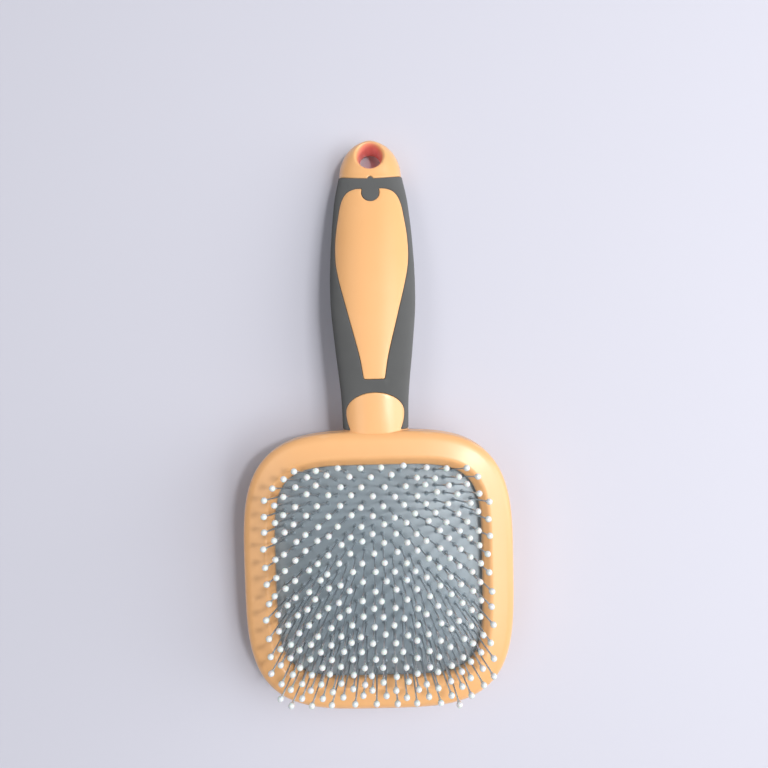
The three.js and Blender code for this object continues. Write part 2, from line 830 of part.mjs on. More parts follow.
brush.rotation.x = restingTilt(brush.children);
brush.updateMatrixWorld(true);
const box = new THREE.Box3().setFromObject(brush, true);
brush.position.set(-(box.min.x + box.max.x) / 2, -(box.min.y + box.max.y) / 2, -box.min.z);

export default brush;
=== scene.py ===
# Looks of a pet pin brush: an orange rounded-square head and handle, a soft grey grip, and a domed
# rubber pad of ball-tipped steel pins. Forms are drawn in the head's own frame, in millimetres:
# x to the right, y towards the handle's end, z the way the pins point, z = 0 on the back panel.

import json
import math
import random

import bmesh
import bpy
import numpy as np
from mathutils import Matrix, Vector
from mathutils.geometry import delaunay_2d_cdt


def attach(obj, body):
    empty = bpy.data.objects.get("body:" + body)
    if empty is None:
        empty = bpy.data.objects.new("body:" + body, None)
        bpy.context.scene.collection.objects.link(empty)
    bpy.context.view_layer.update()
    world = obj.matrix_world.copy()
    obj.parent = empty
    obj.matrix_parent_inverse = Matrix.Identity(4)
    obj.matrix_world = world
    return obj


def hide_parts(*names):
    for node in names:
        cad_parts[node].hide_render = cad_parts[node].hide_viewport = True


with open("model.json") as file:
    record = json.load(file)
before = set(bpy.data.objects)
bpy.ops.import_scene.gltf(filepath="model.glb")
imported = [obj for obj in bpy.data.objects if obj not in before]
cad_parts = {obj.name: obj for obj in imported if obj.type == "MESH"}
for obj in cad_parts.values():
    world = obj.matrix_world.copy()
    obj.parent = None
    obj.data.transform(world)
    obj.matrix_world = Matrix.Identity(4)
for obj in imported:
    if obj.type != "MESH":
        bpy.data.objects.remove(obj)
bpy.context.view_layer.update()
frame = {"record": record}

PER_METRE = 1000  # millimetres

# Head
HEAD_WIDTH = 81.6
HEAD_LENGTH = 85.6
HEAD_DEPTH = 16.6
HEAD_CORNER_SHARE = 0.825
PARTING_HEIGHT = 11
TRAY_FLOOR = 2.4
BACK_EDGE_INSET = 9.5
BACK_EDGE_EASE = 1.1
UPSTAND_INSET = 2.3
UPSTAND_WALL = 1.6
UPSTAND_HEIGHT = 2.4
ROOM_INSET = 1.6
ROOM_CORNER = 4.6
MOULD_EDGE = 0.3

# Rim of the frame
RIM_WIDTH = 9.5
RIM_LENGTH = 10.1
OPENING_CORNER_SHARE = 0.866
LIP_HEIGHT = 12.5
FRAME_WALL = 2
RIM_FALL = 1.1
RIM_EDGE = 1.6
RIM_EDGE_EASE = 1
RIM_SHOULDER = 1.3
RIM_SHOULDER_EASE = 1
RIM_BEVEL = 2.3
RIM_BEVEL_DROP = 1.9
RIM_BEVEL_EASE = 0.8

# Pad, its backing and its foam
PAD_CROWN = 5.1
DOME_BLEND_SHARE = 1 / 3
PAD_SKIN = 1.8
PAD_FLANGE = 2.2
BACKING_SHEET = 0.6
FOAM_INSET = 2.2
FOAM_EDGE = 1.4
FOAM_EASE_SHARE = 0.9
FOAM_DRAW = 0.7
CLEARANCE = 0.3

# Pins
PIN_ROWS = 28
PINS_PER_ROW = 11
PIN_PITCH = 5.4
PIN_ROW_PITCH = 2.26
PIN_LENGTH = 16.4
PIN_WIRE = 0.5
PIN_TIP = 1.85
PIN_ROOT_DEPTH = 1.2
PIN_FAN_RADIUS = 140
PIN_EDGE_MARGIN = 0.8
PIN_CORNER_SHARE = 0.88
PIN_SEED = 7
PIN_LEAN = 0.02
PIN_DRIFT = 0.025
PIN_DRIFT_REACH = 11
PIN_DRIFT_TWIST = 1.3
PIN_DRIFT_BACK_TWIST = 1.1
PIN_DRIFT_PHASE = 2
COLLAR_WIDTH = 1.7
COLLAR_HEIGHT = 0.55
PIN_STRIPS = [f"pin_strip_{number}" for number in (1, 2, 3, 4)]

# Handle
HANDLE_LENGTH = 90.1
HANDLE_WIDTH = 26.3
HANDLE_THICKNESS = 18
NECK_HEIGHT = 8.6
HANDLE_DROP = 15.4
BEND_LENGTH = 18
END_LENGTH = 11.6
END_WIDTH = 20
HANG_HOLE_WIDTH = 6.6
HANG_HOLE_LENGTH = 7.8
HANG_HOLE_SIDE_FLARE = 1.6
HANG_HOLE_END_FLARE = 1
HANG_HOLE_FLARE_DEPTH = 3
HANG_HOLE_FROM_END = 6.5
CAP_LENGTH = 13
GRIP_BAND = 3.3
END_BOW = 1.3
END_STEP = 0.2
KEY_RADIUS = 2.8
KEY_SINK = 1.3
NUB_RADIUS = 0.75
INLAY_WIDTH = 22.5
INLAY_START = 15.6
BOSS_WIDTH = 17.7
BOSS_WAIST = 15.2
BOSS_WIDEST = 5.4
BOSS_LENGTH = 11.4
NECK_OVERLAP = 0.8
SEAM = 0.12
SEAM_EDGE = 0.3
SHELL = 1.8
CORE_INSET = 2.6

# Fineness of the meshes: lengths, shares and counts
LINE_STEP = 0.2
SKIN_STEP = 0.9
END_SKIN_STEP = 0.63
CORNER_EASE = 0.42
WELD = 0.002
SAME_PLACE = 1e-6
EASE_SPREAD = 3
LOOP_SHARE = 0.97
BORDER_GAP_SHARE = 0.6
LEAST_SPANS = 8
HEAD_POINTS = 240
OUTLINE_DRAFT = 8
SECTION_POINTS = 8001
ARCH_POINTS = 40
WAIST_POINTS = 30
NUB_POINTS = 16
KEY_POINTS = 24
FLANK_POINTS = 80
FOOT_POINTS = 400
TIP_POINTS = 41
HOLE_POINTS = 96
HOLE_ROUNDS = 30
FLARE_STEPS = 10
EDGE_STEPS = 4
BEND_STEPS = 6
RIM_BEND_STEPS = 8
DOME_SPREAD = 0.9
PAD_RINGS = 64
BACKING_RINGS = 24
FOAM_RINGS = 24
CORE_RINGS = 24
CORE_SIDES = 48
COLLAR_SIDES = 12
WIRE_SIDES = 10
TIP_SIDES = 16

# Finishes, in millimetres and shares
BLACK = (0, 0, 0, 1)
WHITE = (1, 1, 1, 1)
GRAIN_WAVE = 9
GRAIN_WAVE_SHARE = 0.6
STREAK_SHARE = 0.35
# Painted shade: the deeper red painted on the hang hole's wall for its shade and the light bounced
# inside it, and the share of the mouth's flare that it reaches over.
HOLE_PAINTED_SHADE = (1, 0.29, 0.25, 1)
HOLE_PAINTED_SHADE_SHARE = 0.6
BEAD_CLOUD = 0.6
THREAD_DEPTH = 0.1
FOAM_CELL_DEPTH = 0.2

# Camera, floor and lights, in metres, degrees and watts
FLOOR_SIZE = 6
FLOOR_COLOUR = (0.66, 0.66, 0.745, 1)
CAMERA_SENSOR = 36
CAMERA_LENS = 33.98
CAMERA_PLACE = (0.0028, 0.009, 0.2364)
CAMERA_PITCH = 0.52
CAMERA_LEAN = 1.36
CAMERA_NEAR = 0.01
ROOM_COLOUR = (0.97, 0.98, 1, 1)
ROOM_LIGHT = 0.2
KEY_POWER = 3.2
STRIP_POWER = 3.7
WINDOW_POWER = 4.2
FILL_POWER = 1.3

# Shares of the handle's length, and of its half sizes across, to the front and to the back.
HANDLE_SHARES = np.array([
    (0, 0.76, 0.7, 0.7),
    (0.12, 0.79, 0.72, 0.72),
    (0.28, 0.91, 0.87, 0.87),
    (0.43, 1, 0.98, 1),
    (0.6, 0.985, 1, 1),
    (0.78, 0.88, 0.87, 0.86),
    (0.872, 0.76, 0.72, 0.7),
])
# Shares of the inlay's length and of its width.
INLAY_SHARES = np.array([
    (0, 0.285),
    (0.12, 0.39),
    (0.33, 0.67),
    (0.57, 0.97),
    (0.71, 1),
    (0.86, 0.9),
    (0.94, 0.8),
    (0.985, 0.63),
    (1, 0.42),
])
# Shares of the back edge's inset and of the parting's height.
TRAY_BACK_SHARES = [(1, 0), (0.74, 0.035), (0.48, 0.12), (0.24, 0.28), (0.08, 0.5), (0, 0.8)]
SECTION_POWER_SHARE = 0.84
END_THICKNESS_SHARE = 0.4
# Shares of the tip's radius, along a pin and across it, from the wire up to the ball's top.
TIP_SHARES = [
    (-2.3, 0.3), (-1.9, 0.38), (-1.4, 0.46), (-1.05, 0.58), (-0.75, 0.77), (-0.45, 0.92), (-0.15, 0.99),
    (0.15, 0.99), (0.45, 0.9), (0.7, 0.72), (0.88, 0.48), (0.97, 0.24),
]
# Shares of a collar's height and of its half width, from its foot to its top.
COLLAR_SHARES = [(-0.6, 1.15), (-0.1, 1), (0.16, 0.8), (0.45, 0.58), (0.8, 0.46), (1, 0.4), (1, 0.3)]

HEAD_EDGE = HEAD_LENGTH / 2
OPENING_WIDTH = HEAD_WIDTH - 2 * RIM_WIDTH
OPENING_LENGTH = HEAD_LENGTH - 2 * RIM_LENGTH
SKIN_TOP = LIP_HEIGHT - CLEARANCE
BACKING_TOP = SKIN_TOP - PAD_SKIN - CLEARANCE
FOAM_TOP = BACKING_TOP - BACKING_SHEET - CLEARANCE
GRIP_END = HANDLE_LENGTH - CAP_LENGTH
INLAY_END = GRIP_END - GRIP_BAND
ROUND_START = HANDLE_LENGTH - END_LENGTH
LAST_REACH = ROUND_START + END_LENGTH * math.pi / 2
HANDLE_SLOPE = HANDLE_DROP / (HANDLE_LENGTH - BEND_LENGTH / 2)


# Placing

def lay_down(points):
    """Puts points of the head's frame, in millimetres, where the brush lies, in metres."""
    mount = next(m for m in frame["record"]["mounts"] if m["name"] == "back_panel")
    tilt = math.atan2(mount["axis"][1], -mount["axis"][2])
    turn = np.array(Matrix.Rotation(tilt, 3, "X"))
    return points @ turn.T / PER_METRE + np.array(mount["pos_m"])


def placed(name, data):
    """Makes an object of some data and puts it in the scene."""
    made = bpy.data.objects.new(name, data)
    bpy.context.scene.collection.objects.link(made)
    return made


class Form:
    """The points and faces of one piece, gathered ring by ring."""

    def __init__(self):
        self.blocks = []
        self.count = 0
        self.faces = []

    def add(self, points):
        """Adds points and gives back their numbers."""
        points = np.atleast_2d(points)
        numbers = np.arange(self.count, self.count + len(points))
        self.blocks.append(points)
        self.count += len(points)
        return numbers

    def strip(self, ring, after, closed=True):
        """Joins two rings of equal count by four-sided faces."""
        spans = len(ring) if closed else len(ring) - 1
        for step in range(spans):
            other = (step + 1) % len(ring)
            self.faces.append([int(n) for n in (ring[step], ring[other], after[other], after[step])])

    def strips(self, rings, closed=True):
        """Joins each ring to the next."""
        for ring, after in zip(rings, rings[1:]):
            self.strip(ring, after, closed)

    def fan(self, ring, centre):
        """Closes a ring about a point."""
        middle = int(self.add(centre)[0])
        for step in range(len(ring)):
            self.faces.append([int(ring[step]), int(ring[(step + 1) % len(ring)]), middle])

    def piece(self, name, material, slot, *nodes):
        """Makes the piece, welds where its borders meet, and gives it its place in the brush."""
        mesh = bpy.data.meshes.new(name)
        mesh.from_pydata(lay_down(np.concatenate(self.blocks)).tolist(), [], self.faces)
        work = bmesh.new()
        work.from_mesh(mesh)
        bmesh.ops.remove_doubles(work, verts=work.verts, dist=WELD / PER_METRE)
        bmesh.ops.recalc_face_normals(work, faces=work.faces)
        work.to_mesh(mesh)
        work.free()
        mesh.shade_smooth()
        mesh.materials.append(material)
        made = placed(name, mesh)
        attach(made, "root")
        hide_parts(*nodes)
        return made


# Lines and curves

def evenly(line, step=LINE_STEP, closed=False, count=None):
    """The same line with its points an even distance apart."""
    path = np.concatenate([line, line[:1]]) if closed else line
    run = np.concatenate([[0], np.cumsum(np.linalg.norm(np.diff(path, axis=0), axis=1))])
    spans = count or max(int(round(run[-1] / step)), LEAST_SPANS)
    marks = np.linspace(0, run[-1], spans + 1)
    if closed:
        marks = marks[:-1]
    return np.stack([np.interp(marks, run, path[:, axis]) for axis in range(path.shape[1])], axis=1)


def eased(line, reach=CORNER_EASE, closed=False):
    """The same line with its corners rounded over a reach."""
    step = LINE_STEP / 2
    fine = evenly(line, step, closed)
    width = int(math.ceil(EASE_SPREAD * reach / step))
    marks = np.arange(-width, width + 1) * step
    weights = np.exp(-0.5 * (marks / reach) ** 2)
    weights /= weights.sum()
    if closed:
        padded = np.concatenate([fine[-width:], fine, fine[:width]])
    else:
        before = 2 * fine[0] - fine[width:0:-1]
        after = 2 * fine[-1] - fine[-2:-width - 2:-1]
        padded = np.concatenate([before, fine, after])
    soft = np.stack([np.convolve(padded[:, axis], weights, "valid") for axis in (0, 1)], axis=1)
    return evenly(soft, LINE_STEP, closed)


def shifted(line, distance, closed=False):
    """The line moved sideways, to the left of its run, by a distance, with no loops in its corners."""
    if closed:
        run = np.roll(line, -1, axis=0) - np.roll(line, 1, axis=0)
    else:
        run = np.gradient(line, axis=0)
    run /= np.linalg.norm(run, axis=1, keepdims=True)
    moved = line + distance * np.stack([-run[:, 1], run[:, 0]], axis=1)
    gap = np.linalg.norm(moved[:, None] - line[None], axis=2).min(axis=1)
    clear = gap > LOOP_SHARE * abs(distance)
    order = np.arange(len(line))
    span = len(line) if closed else None
    columns = [np.interp(order, order[clear], moved[clear, axis], period=span) for axis in (0, 1)]
    return np.stack(columns, axis=1)


def bent(corners, steps=BEND_STEPS):
    """A profile through corners, each given with the distance over which it bends."""
    places = [np.array(place, float) for place, _ in corners]
    profile = [places[0]]
    for at in range(1, len(corners) - 1):
        corner, ease = places[at], corners[at][1]
        into = places[at - 1] - corner
        out = places[at + 1] - corner
        start = corner + into / np.linalg.norm(into) * ease
        end = corner + out / np.linalg.norm(out) * ease
        for part in np.linspace(0, 1, steps):
            profile.append((1 - part) ** 2 * start + 2 * part * (1 - part) * corner + part ** 2 * end)
    return profile + [places[-1]]


def smoothly(table, column, share):
    """A smooth value between the rows of a table of shares."""
    marks, values = table[:, 0], table[:, column]
    slopes = np.concatenate([
        [(values[1] - values[0]) / (marks[1] - marks[0])],
        (values[2:] - values[:-2]) / (marks[2:] - marks[:-2]),
        [(values[-1] - values[-2]) / (marks[-1] - marks[-2])],
    ])
    row = np.clip(np.searchsorted(marks, share, "right") - 1, 0, len(marks) - 2)
    span = marks[row + 1] - marks[row]
    part = (share - marks[row]) / span
    return (
        values[row] * (2 * part ** 3 - 3 * part ** 2 + 1)
        + slopes[row] * span * (part ** 3 - 2 * part ** 2 + part)
        + values[row + 1] * (3 * part ** 2 - 2 * part ** 3)
        + slopes[row + 1] * span * (part ** 3 - part ** 2)
    )


# Head

def rounded_square(half_width, half_length, corner_share):
    """Outline of a superellipse whose corners reach out by a share of its half sides."""
    power = -math.log(2) / math.log(corner_share)
    turn = np.linspace(0, 2 * math.pi, OUTLINE_DRAFT * HEAD_POINTS, endpoint=False)
    across, along = np.cos(turn), np.sin(turn)
    outline = np.stack([
        half_width * np.sign(across) * np.abs(across) ** (2 / power),
        half_length * np.sign(along) * np.abs(along) ** (2 / power),
    ], axis=1)
    return evenly(outline, closed=True, count=HEAD_POINTS)


def raised(outline, height):
    """An outline at a height, or each of its points at one."""
    return np.column_stack([outline, np.broadcast_to(height, len(outline))])


def head_ring(inset, height):
    """A ring of the head at an inset from its outline."""
    inwards = min(inset / RIM_WIDTH, 1)
    share = HEAD_CORNER_SHARE + (OPENING_CORNER_SHARE - HEAD_CORNER_SHARE) * inwards
    half_length = HEAD_EDGE - inset * RIM_LENGTH / RIM_WIDTH
    return raised(rounded_square(HEAD_WIDTH / 2 - inset, half_length, share), height)


def opening_outline(reach):
    """The opening's outline, let out by a reach."""
    return rounded_square(OPENING_WIDTH / 2 + reach, OPENING_LENGTH / 2 + reach, OPENING_CORNER_SHARE)


def tray(material):
    """The head's shallow tray, with the upstand that the frame drops over."""
    room = RIM_WIDTH + ROOM_INSET
    wall = UPSTAND_INSET + UPSTAND_WALL
    top = PARTING_HEIGHT + UPSTAND_HEIGHT
    back = [(BACK_EDGE_INSET * inset, PARTING_HEIGHT * height) for inset, height in TRAY_BACK_SHARES]
    corners = [((RIM_WIDTH + BACK_EDGE_INSET, 0), 0)]
    corners += [(place, BACK_EDGE_EASE) for place in back[:-1]]
    corners += [
        (back[-1], MOULD_EDGE),
        ((0, PARTING_HEIGHT), MOULD_EDGE),
        ((UPSTAND_INSET, PARTING_HEIGHT), MOULD_EDGE),
        ((UPSTAND_INSET, top), MOULD_EDGE),
        ((wall, top), MOULD_EDGE),
        ((wall, TRAY_FLOOR), ROOM_CORNER),
        ((room + ROOM_CORNER, TRAY_FLOOR), 0),
    ]
    form = Form()
    rings = [form.add(head_ring(inset, height)) for inset, height in bent(corners)]
    form.strips(rings)
    form.fan(rings[0], (0, 0, 0))
    form.fan(rings[-1], (0, 0, TRAY_FLOOR))
    form.piece("head_tray", material, "orange_plastic", "body_shell")


def rim_frame(material):
    """The frame round the pad: a channel section with a face that falls outwards and a bevelled edge."""
    bottom = PARTING_HEIGHT + CLEARANCE
    channel = RIM_WIDTH - FRAME_WALL
    ceiling = HEAD_DEPTH - FRAME_WALL
    edge_height = HEAD_DEPTH - RIM_FALL
    corners = [
        ((FRAME_WALL / 2, bottom), 0),
        ((0, bottom), MOULD_EDGE),
        ((0, edge_height - RIM_SHOULDER), RIM_EDGE_EASE),
        ((RIM_EDGE, edge_height), RIM_SHOULDER_EASE),
        ((RIM_WIDTH - RIM_BEVEL, HEAD_DEPTH), RIM_BEVEL_EASE),
        ((RIM_WIDTH, HEAD_DEPTH - RIM_BEVEL_DROP), RIM_BEVEL_EASE),
        ((RIM_WIDTH, LIP_HEIGHT), MOULD_EDGE),
        ((channel, LIP_HEIGHT), MOULD_EDGE),
        ((channel, ceiling), MOULD_EDGE),
        ((FRAME_WALL, ceiling), MOULD_EDGE),
        ((FRAME_WALL, bottom), MOULD_EDGE),
        ((FRAME_WALL / 2, bottom), 0),
    ]
    profile = bent(corners, RIM_BEND_STEPS)[:-1]
    form = Form()
    rings = [form.add(head_ring(inset, height)) for inset, height in profile]
    form.strips(rings + rings[:1])
    form.piece("rim_frame", material, "orange_plastic", "head_frame")


# Pad

def dome_height(x, y, edge):
    """Height of the pad's dome over a place in the opening, its foot blended into the level rim."""
    across = 2 * x / OPENING_WIDTH
    along = 2 * y / OPENING_LENGTH
    level = (1 - OPENING_CORNER_SHARE ** 2) ** 2
    rise = np.maximum(1 - across ** 2, 0) * np.maximum(1 - along ** 2, 0) - level
    reach = level * DOME_BLEND_SHARE
    soft = reach * np.logaddexp(0, rise / reach)
    return edge + PAD_CROWN * soft / (1 - level)


def domed(outline, share, edge):
    """A ring of the dome, its outline drawn in by a share."""
    flat = outline * share
    return raised(flat, dome_height(flat[:, 0], flat[:, 1], edge))


def dome_shares(count):
    """Shares of an outline, from its middle outwards, closer together towards its edge."""
    return np.sin(np.linspace(0, math.pi / 2, count + 1)[1:]) ** DOME_SPREAD


def dome(form, outline, count, edge):
    """Adds a side of a domed sheet, closed in its middle, and gives back the numbers of its edge."""
    rings = [form.add(domed(outline, share, edge)) for share in dome_shares(count)]
    form.strips(rings)
    form.fan(rings[0], (0, 0, dome_height(0, 0, edge)))
    return rings[-1]


def drift(x, y):
    """How neighbouring pins lean together, as they do once the pad has been handled."""
    x, y = x / PIN_DRIFT_REACH, y / PIN_DRIFT_REACH
    across = math.sin(x + PIN_DRIFT_TWIST * math.sin(y))
    along = math.sin(y - PIN_DRIFT_BACK_TWIST * math.sin(x + PIN_DRIFT_PHASE))
    return Vector((PIN_DRIFT * across, PIN_DRIFT * along, 0))


def pin_roots():
    """Places and ways of all pins, row by row, each row staggered against the last."""
    rand = random.Random(PIN_SEED)
    half_width = OPENING_WIDTH / 2 - PIN_EDGE_MARGIN
    half_length = OPENING_LENGTH / 2 - PIN_EDGE_MARGIN
    power = -math.log(2) / math.log(PIN_CORNER_SHARE)
    roots = []
    for row in range(PIN_ROWS):
        y = (row - (PIN_ROWS - 1) / 2) * PIN_ROW_PITCH
        shift = -PIN_PITCH / 4 if row % 2 == 0 else PIN_PITCH / 4
        for place in range(PINS_PER_ROW):
            x = (place - (PINS_PER_ROW - 1) / 2) * PIN_PITCH + shift
            if abs(x / half_width) ** power + abs(y / half_length) ** power < 1:
                way = Vector((x, y, PIN_FAN_RADIUS)).normalized()
                way += Vector((rand.gauss(0, PIN_LEAN), rand.gauss(0, PIN_LEAN), 0))
                way += drift(x, y)
                root = Vector((x, y, float(dome_height(x, y, SKIN_TOP))))
                roots.append((root, way.normalized()))
    return roots


def turned(form, root, way, stations, sides):
    """Adds a small turned form about a line, from stations along it and their radii."""
    side = Vector((0, 1, 0)).cross(way).normalized()
    up = way.cross(side)
    turn = np.linspace(0, 2 * math.pi, sides, endpoint=False)
    circle = np.outer(np.cos(turn), side) + np.outer(np.sin(turn), up)
    rings = [form.add(np.array(root + way * along) + radius * circle) for along, radius in stations]
    form.strips(rings)
    form.fan(rings[0], root + way * stations[0][0])
    form.fan(rings[-1], root + way * stations[-1][0])


def rubber_pad(material, roots):
    """The domed rubber skin, its flange under the frame's lip, and a small collar at each pin."""
    flange = opening_outline(PAD_FLANGE)
    form = Form()
    top = dome(form, flange, PAD_RINGS, SKIN_TOP)
    low = dome(form, flange, PAD_RINGS, SKIN_TOP - PAD_SKIN)
    edge = domed(opening_outline(PAD_FLANGE + PAD_SKIN / 4), 1, SKIN_TOP - PAD_SKIN / 2)
    form.strips([top, form.add(edge), low])
    stations = [(COLLAR_HEIGHT * along, COLLAR_WIDTH / 2 * out) for along, out in COLLAR_SHARES]
    for root, way in roots:
        turned(form, root, way, stations, COLLAR_SIDES)
    pad = form.piece("rubber_pad", material, "pad_rubber", *PIN_STRIPS)


def pin_wires(material, roots):
    """The wires, from inside the rubber into their beads."""
    form = Form()
    marks = (-PIN_ROOT_DEPTH, PIN_LENGTH / 2, PIN_LENGTH - PIN_TIP / 2)
    stations = [(along, PIN_WIRE / 2) for along in marks]
    for root, way in roots:
        turned(form, root, way, stations, WIRE_SIDES)
    form.piece("pin_wires", material, "pin_steel", *PIN_STRIPS)


def pin_tips(material, roots):
    """The resin beads: round, drawn out a little where they grip the wire."""
    form = Form()
    radius = PIN_TIP / 2
    stations = [(PIN_LENGTH + radius * along, radius * out) for along, out in TIP_SHARES]
    for root, way in roots:
        turned(form, root, way, stations, TIP_SIDES)
    form.piece("pin_tips", material, "tip_resin", *PIN_STRIPS)


def pad_backing(material):
    """The woven sheet under the rubber."""
    outline = opening_outline(PAD_FLANGE / 2)
    form = Form()
    top = dome(form, outline, BACKING_RINGS, BACKING_TOP)
    low = dome(form, outline, BACKING_RINGS, BACKING_TOP - BACKING_SHEET)
    form.strip(top, low)
    backing = form.piece("pad_backing", material, "backing_cloth", "backing_sheet")


def foam_core(material):
    """The foam block: crowned above, flat on the tray's floor, its sides drawn in."""
    outline = opening_outline(-FOAM_INSET)
    floor = TRAY_FLOOR + CLEARANCE
    ease = FOAM_EDGE * FOAM_EASE_SHARE
    form = Form()
    inner = 1 - FOAM_EDGE / (OPENING_WIDTH / 2)
    rings = [dome(form, outline * inner, FOAM_RINGS, FOAM_TOP)]
    sides = bent([
        ((FOAM_EDGE, FOAM_TOP), 0),
        ((0, FOAM_TOP), ease),
        ((FOAM_DRAW, (FOAM_TOP + floor) / 2), FOAM_EDGE),
        ((0, floor), ease),
        ((FOAM_EDGE, floor), 0),
    ])
    foot = opening_outline(-FOAM_INSET - FOAM_EDGE)
    for draw, height in sides[1:]:
        ring = opening_outline(-FOAM_INSET - draw)
        lift = dome_height(foot[:, 0], foot[:, 1], 0) * max((height - floor) / (FOAM_TOP - floor), 0)
        rings.append(form.add(raised(ring, height + lift)))
    form.strips(rings)
    form.fan(rings[-1], (0, 0, floor))
    foam = form.piece("foam_core", material, "cushion_foam", "foam_cushion")


# Handle

def unit_section():
    """Places round the handle's unit section, from its back's middle, with x, z and the run so far."""
    turn = np.linspace(-math.pi, math.pi, SECTION_POINTS)
    x = np.sign(np.sin(turn)) * np.abs(np.sin(turn)) ** SECTION_POWER_SHARE
    z = np.sign(np.cos(turn)) * np.abs(np.cos(turn)) ** SECTION_POWER_SHARE
    run = np.concatenate([[0], np.cumsum(np.hypot(np.diff(x), np.diff(z)))])
    return x, z, run / run[-1] * 2 - 1, run[-1]


SECTION_X, SECTION_Z, SECTION_RUN, SECTION_GIRTH = unit_section()
HALF_GIRTH = SECTION_GIRTH / 2 * (HANDLE_WIDTH + HANDLE_THICKNESS) / 4


def handle_middle(distance):
    """Height of the handle's middle at a distance from the head."""
    bend = np.clip(distance, 0, BEND_LENGTH)
    straight = np.maximum(distance - BEND_LENGTH, 0)
    return NECK_HEIGHT - HANDLE_SLOPE * (bend ** 2 / (2 * BEND_LENGTH) + straight)


def handle_section(distance):
    """Half sizes of the handle's section: across it, and towards its front and its back."""
    share = np.clip(distance, 0, ROUND_START) / HANDLE_LENGTH
    past = np.clip((distance - ROUND_START) / END_LENGTH, 0, 1)
    thin = END_THICKNESS_SHARE + (1 - END_THICKNESS_SHARE) * np.sqrt(1 - past ** 3)
    straight = smoothly(HANDLE_SHARES, 1, share) * HANDLE_WIDTH / 2
    across = np.where(past > 0, END_WIDTH / 2 * np.sqrt(1 - past ** 2), straight)
    front = smoothly(HANDLE_SHARES, 2, share) * HANDLE_THICKNESS / 2 * thin
    back = smoothly(HANDLE_SHARES, 3, share) * HANDLE_THICKNESS / 2 * thin
    return across, front, back


def distance_at(reach):
    """Distance from the head at a reach along the skin, which runs on round the handle's end."""
    past = np.clip(reach - ROUND_START, 0, END_LENGTH * math.pi / 2)
    return np.minimum(reach, ROUND_START) + END_LENGTH * np.sin(past / END_LENGTH)


def reach_at(distance):
    """The reach along the skin at a distance from the head."""
    past = np.clip((distance - ROUND_START) / END_LENGTH, 0, 1)
    return np.minimum(distance, ROUND_START) + END_LENGTH * np.arcsin(past)


def places_at(turn, reach):
    """Places on the handle: how far round from the front's middle, and the reach along the skin."""
    return np.column_stack(np.broadcast_arrays(turn, reach)).astype(float)


def skin(places, inset=0):
    """Points of the handle's skin, or at an inset from it."""
    turn = (places[:, 0] / HALF_GIRTH + 1) % 2 - 1
    x = np.interp(turn, SECTION_RUN, SECTION_X)
    z = np.interp(turn, SECTION_RUN, SECTION_Z)
    distance = distance_at(places[:, 1])
    across, front, back = handle_section(distance)
    depth = np.where(z > 0, front, back) - inset
    return np.stack([
        (across - inset) * x,
        HEAD_EDGE + distance,
        handle_middle(distance) + depth * z,
    ], axis=1)


def outwards(places):
    """The way out of the handle's skin at some places."""
    step = LINE_STEP / 2
    round_step = np.array([step, 0])
    reach_step = np.array([0, step])
    across = skin(places + round_step) - skin(places - round_step)
    along = skin(places + reach_step) - skin(places - reach_step)
    way = np.cross(across, along)
    return way / np.linalg.norm(way, axis=1, keepdims=True)


def on_front(x, distance):
    """The place on the skin at a distance to the right and a distance from the head."""
    x, distance = np.broadcast_arrays(np.asarray(x, float), np.asarray(distance, float))
    across = handle_section(distance)[0]
    front = np.abs(SECTION_RUN) <= 0.5
    turn = np.interp(x / across, SECTION_X[front], SECTION_RUN[front])
    return places_at(turn * HALF_GIRTH, reach_at(distance))


def mirrored(right):
    """A line from left to right, given its right half from the middle outwards."""
    return np.concatenate([right[::-1] * (-1, 1), right[1:]])


def neck_line():
    """The line between the neck and the grip: round the back, and over the boss in front."""
    half = BOSS_WIDTH / 2
    arch = BOSS_LENGTH - BOSS_WIDEST
    foot = BOSS_WIDEST / math.sqrt(1 - (BOSS_WAIST / BOSS_WIDTH) ** 2)
    up = np.linspace(math.pi / 2, 0, ARCH_POINTS)
    down = np.linspace(0, math.asin(BOSS_WIDEST / foot), WAIST_POINTS)[1:]
    x = half * np.concatenate([np.cos(up), np.cos(down)])
    distance = BOSS_WIDEST + np.concatenate([arch * np.sin(up), -foot * np.sin(down)])
    right = on_front(x, np.maximum(distance, 0) + CLEARANCE)
    right = np.concatenate([right, [(HALF_GIRTH, CLEARANCE)]])
    return eased(mirrored(right))


def end_line():
    """The line between the grip and the handle's bare end: bowed a little towards the end on its sides,
    with the grip's small nub in front."""
    turn = np.linspace(math.pi / 2, 0, NUB_POINTS)
    nub = on_front(NUB_RADIUS * np.cos(turn), GRIP_END + NUB_RADIUS * np.sin(turn))
    side = np.linspace(nub[-1, 0], HALF_GIRTH, FLANK_POINTS)[1:]
    bow = END_BOW * np.sin(math.pi * side / HALF_GIRTH) ** 2
    right = np.concatenate([nub, places_at(side, GRIP_END + bow)])
    return eased(mirrored(right), CORNER_EASE / 2)


def window_line():
    """The line between the grip and the inlay: a teardrop with the grip's round key in its head."""
    share = (1 - np.cos(np.linspace(0, math.pi, FLANK_POINTS))) / 2
    flank = on_front(
        smoothly(INLAY_SHARES, 1, share) * INLAY_WIDTH / 2,
        INLAY_START + (INLAY_END - INLAY_START) * share,
    )
    lean = math.asin(KEY_SINK / KEY_RADIUS)
    turn = np.linspace(lean, -math.pi / 2, KEY_POINTS)
    key = on_front(KEY_RADIUS * np.cos(turn), INLAY_END - KEY_SINK + KEY_RADIUS * np.sin(turn))
    right = np.concatenate([flank, key])
    left = right[-2::-1] * (-1, 1)
    return eased(np.concatenate([right, left]), closed=True)


